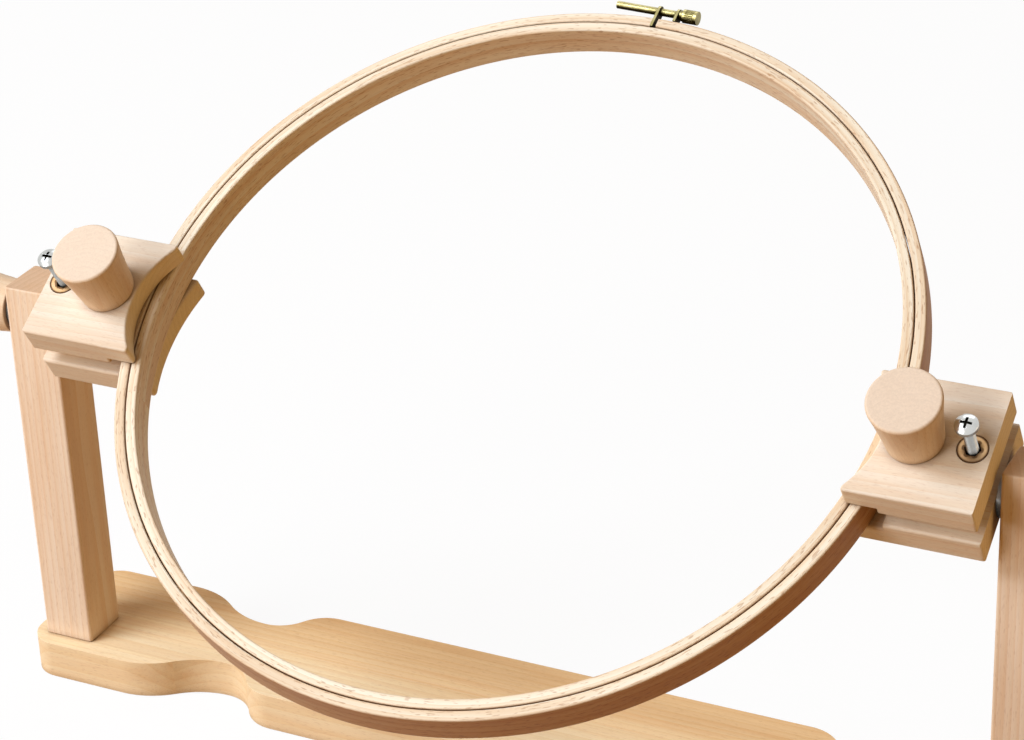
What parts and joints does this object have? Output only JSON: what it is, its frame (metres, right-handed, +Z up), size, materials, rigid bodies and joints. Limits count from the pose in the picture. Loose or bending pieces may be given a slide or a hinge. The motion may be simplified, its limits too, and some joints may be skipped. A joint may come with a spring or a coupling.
{
  "type": "embroidery stand",
  "caption": "Wooden lap or table stand: a waisted base board, two square posts and tilting screw clamps that grip a round two-ring embroidery hoop.",
  "frame": {"origin": "underside of the base board, midway between the posts and straight below the pivot axis", "axes": "+X along the pivot axis towards the right clamp, +Y away from the sitter, +Z up"},
  "size_m": [0.5486, 0.3072, 0.3042],
  "materials": {
    "board_wood": "sanded beech, edge-glued staves",
    "post_wood": "sanded beech",
    "jaw_wood": "sanded beech",
    "knob_wood": "turned beech",
    "ring_wood": "steam-bent beech strip",
    "brass": "bright, slightly dulled",
    "zinc_steel": "bright zinc plate"
  },
  "bodies": {
    "stand": {"base_board": "board_wood", "post_left": "post_wood", "post_right": "post_wood", "post_screws_left": "zinc_steel", "post_screws_right": "zinc_steel", "pivot_washers_left": "zinc_steel", "pivot_washers_right": "zinc_steel"},
    "left_clamp": {"lower_jaw_left": "jaw_wood", "pivot_sleeve_left": "brass", "pivot_stud_left": "zinc_steel", "clamp_bolt_left": "zinc_steel"},
    "right_clamp": {"lower_jaw_right": "jaw_wood", "pivot_sleeve_right": "brass", "pivot_stud_right": "zinc_steel", "clamp_bolt_right": "zinc_steel"},
    "left_upper": {"upper_jaw_left": "jaw_wood", "level_insert_left": "brass"},
    "right_upper": {"upper_jaw_right": "jaw_wood", "level_insert_right": "brass"},
    "left_level": {"level_screw_left": "zinc_steel"},
    "right_level": {"level_screw_right": "zinc_steel"},
    "left_clamp_knob": {"clamp_knob_left": "knob_wood", "clamp_knob_sleeve_left": "brass"},
    "right_clamp_knob": {"clamp_knob_right": "knob_wood", "clamp_knob_sleeve_right": "brass"},
    "left_pivot_knob": {"pivot_knob_left": "knob_wood", "pivot_knob_sleeve_left": "brass"},
    "right_pivot_knob": {"pivot_knob_right": "knob_wood", "pivot_knob_sleeve_right": "brass"},
    "hoop": {"outer_ring": "ring_wood", "threaded_lug": "brass", "plain_lug": "brass", "lug_rivets": "brass"},
    "inner_hoop": {"inner_ring": "ring_wood"},
    "hoop_screw": {"closing_screw": "brass"}
  },
  "joints": [
    {"name": "hoop_tilt", "type": "hinge", "parent": "stand", "child": "left_clamp", "pos_m": [0, 0, 0.184], "axis": [1, 0, 0], "range_deg": [-80, 58]},
    {"name": "right_tilt", "type": "hinge", "parent": "stand", "child": "right_clamp", "pos_m": [0, 0, 0.184], "axis": [1, 0, 0], "range_deg": [-80, 58]},
    {"name": "left_jaw_lift", "type": "slide", "parent": "left_clamp", "child": "left_upper", "axis": [0, -0.524, 0.8517], "range_m": [0, 0.006]},
    {"name": "left_knob_turn", "type": "hinge", "parent": "left_upper", "child": "left_clamp_knob", "pos_m": [-0.1844, -0.02096, 0.21807], "axis": [0, -0.524, 0.8517], "continuous": true},
    {"name": "left_level_turn", "type": "hinge", "parent": "left_upper", "child": "left_level", "pos_m": [-0.2077, -0.01572, 0.20955], "axis": [0, -0.524, 0.8517], "continuous": true},
    {"name": "left_pivot_knob_turn", "type": "hinge", "parent": "left_clamp", "child": "left_pivot_knob", "pos_m": [-0.26, 0, 0.184], "axis": [1, 0, 0], "continuous": true},
    {"name": "right_jaw_lift", "type": "slide", "parent": "right_clamp", "child": "right_upper", "axis": [0, -0.524, 0.8517], "range_m": [0, 0.006]},
    {"name": "right_knob_turn", "type": "hinge", "parent": "right_upper", "child": "right_clamp_knob", "pos_m": [0.1844, -0.02096, 0.21807], "axis": [0, -0.524, 0.8517], "continuous": true},
    {"name": "right_level_turn", "type": "hinge", "parent": "right_upper", "child": "right_level", "pos_m": [0.2077, -0.01572, 0.20955], "axis": [0, -0.524, 0.8517], "continuous": true},
    {"name": "right_pivot_knob_turn", "type": "hinge", "parent": "right_clamp", "child": "right_pivot_knob", "pos_m": [0.26, 0, 0.184], "axis": [1, 0, 0], "continuous": true},
    {"name": "hoop_turn", "type": "hinge", "parent": "left_clamp", "child": "hoop", "pos_m": [0, 0.00744, 0.20243], "axis": [0, -0.524, 0.8517], "range_deg": [-70, 70]},
    {"name": "inner_ring_turn", "type": "hinge", "parent": "hoop", "child": "inner_hoop", "pos_m": [0, 0.00744, 0.20243], "axis": [0, -0.524, 0.8517], "continuous": true},
    {"name": "closing_screw_turn", "type": "hinge", "parent": "hoop", "child": "hoop_screw", "pos_m": [0.00912, 0.1579, 0.30133], "axis": [-0.9987, 0.0431, 0.0265], "continuous": true}
  ],
  "couplings": [
    {"joint": "right_tilt", "follows": "hoop_tilt", "ratio": 1}
  ]
}
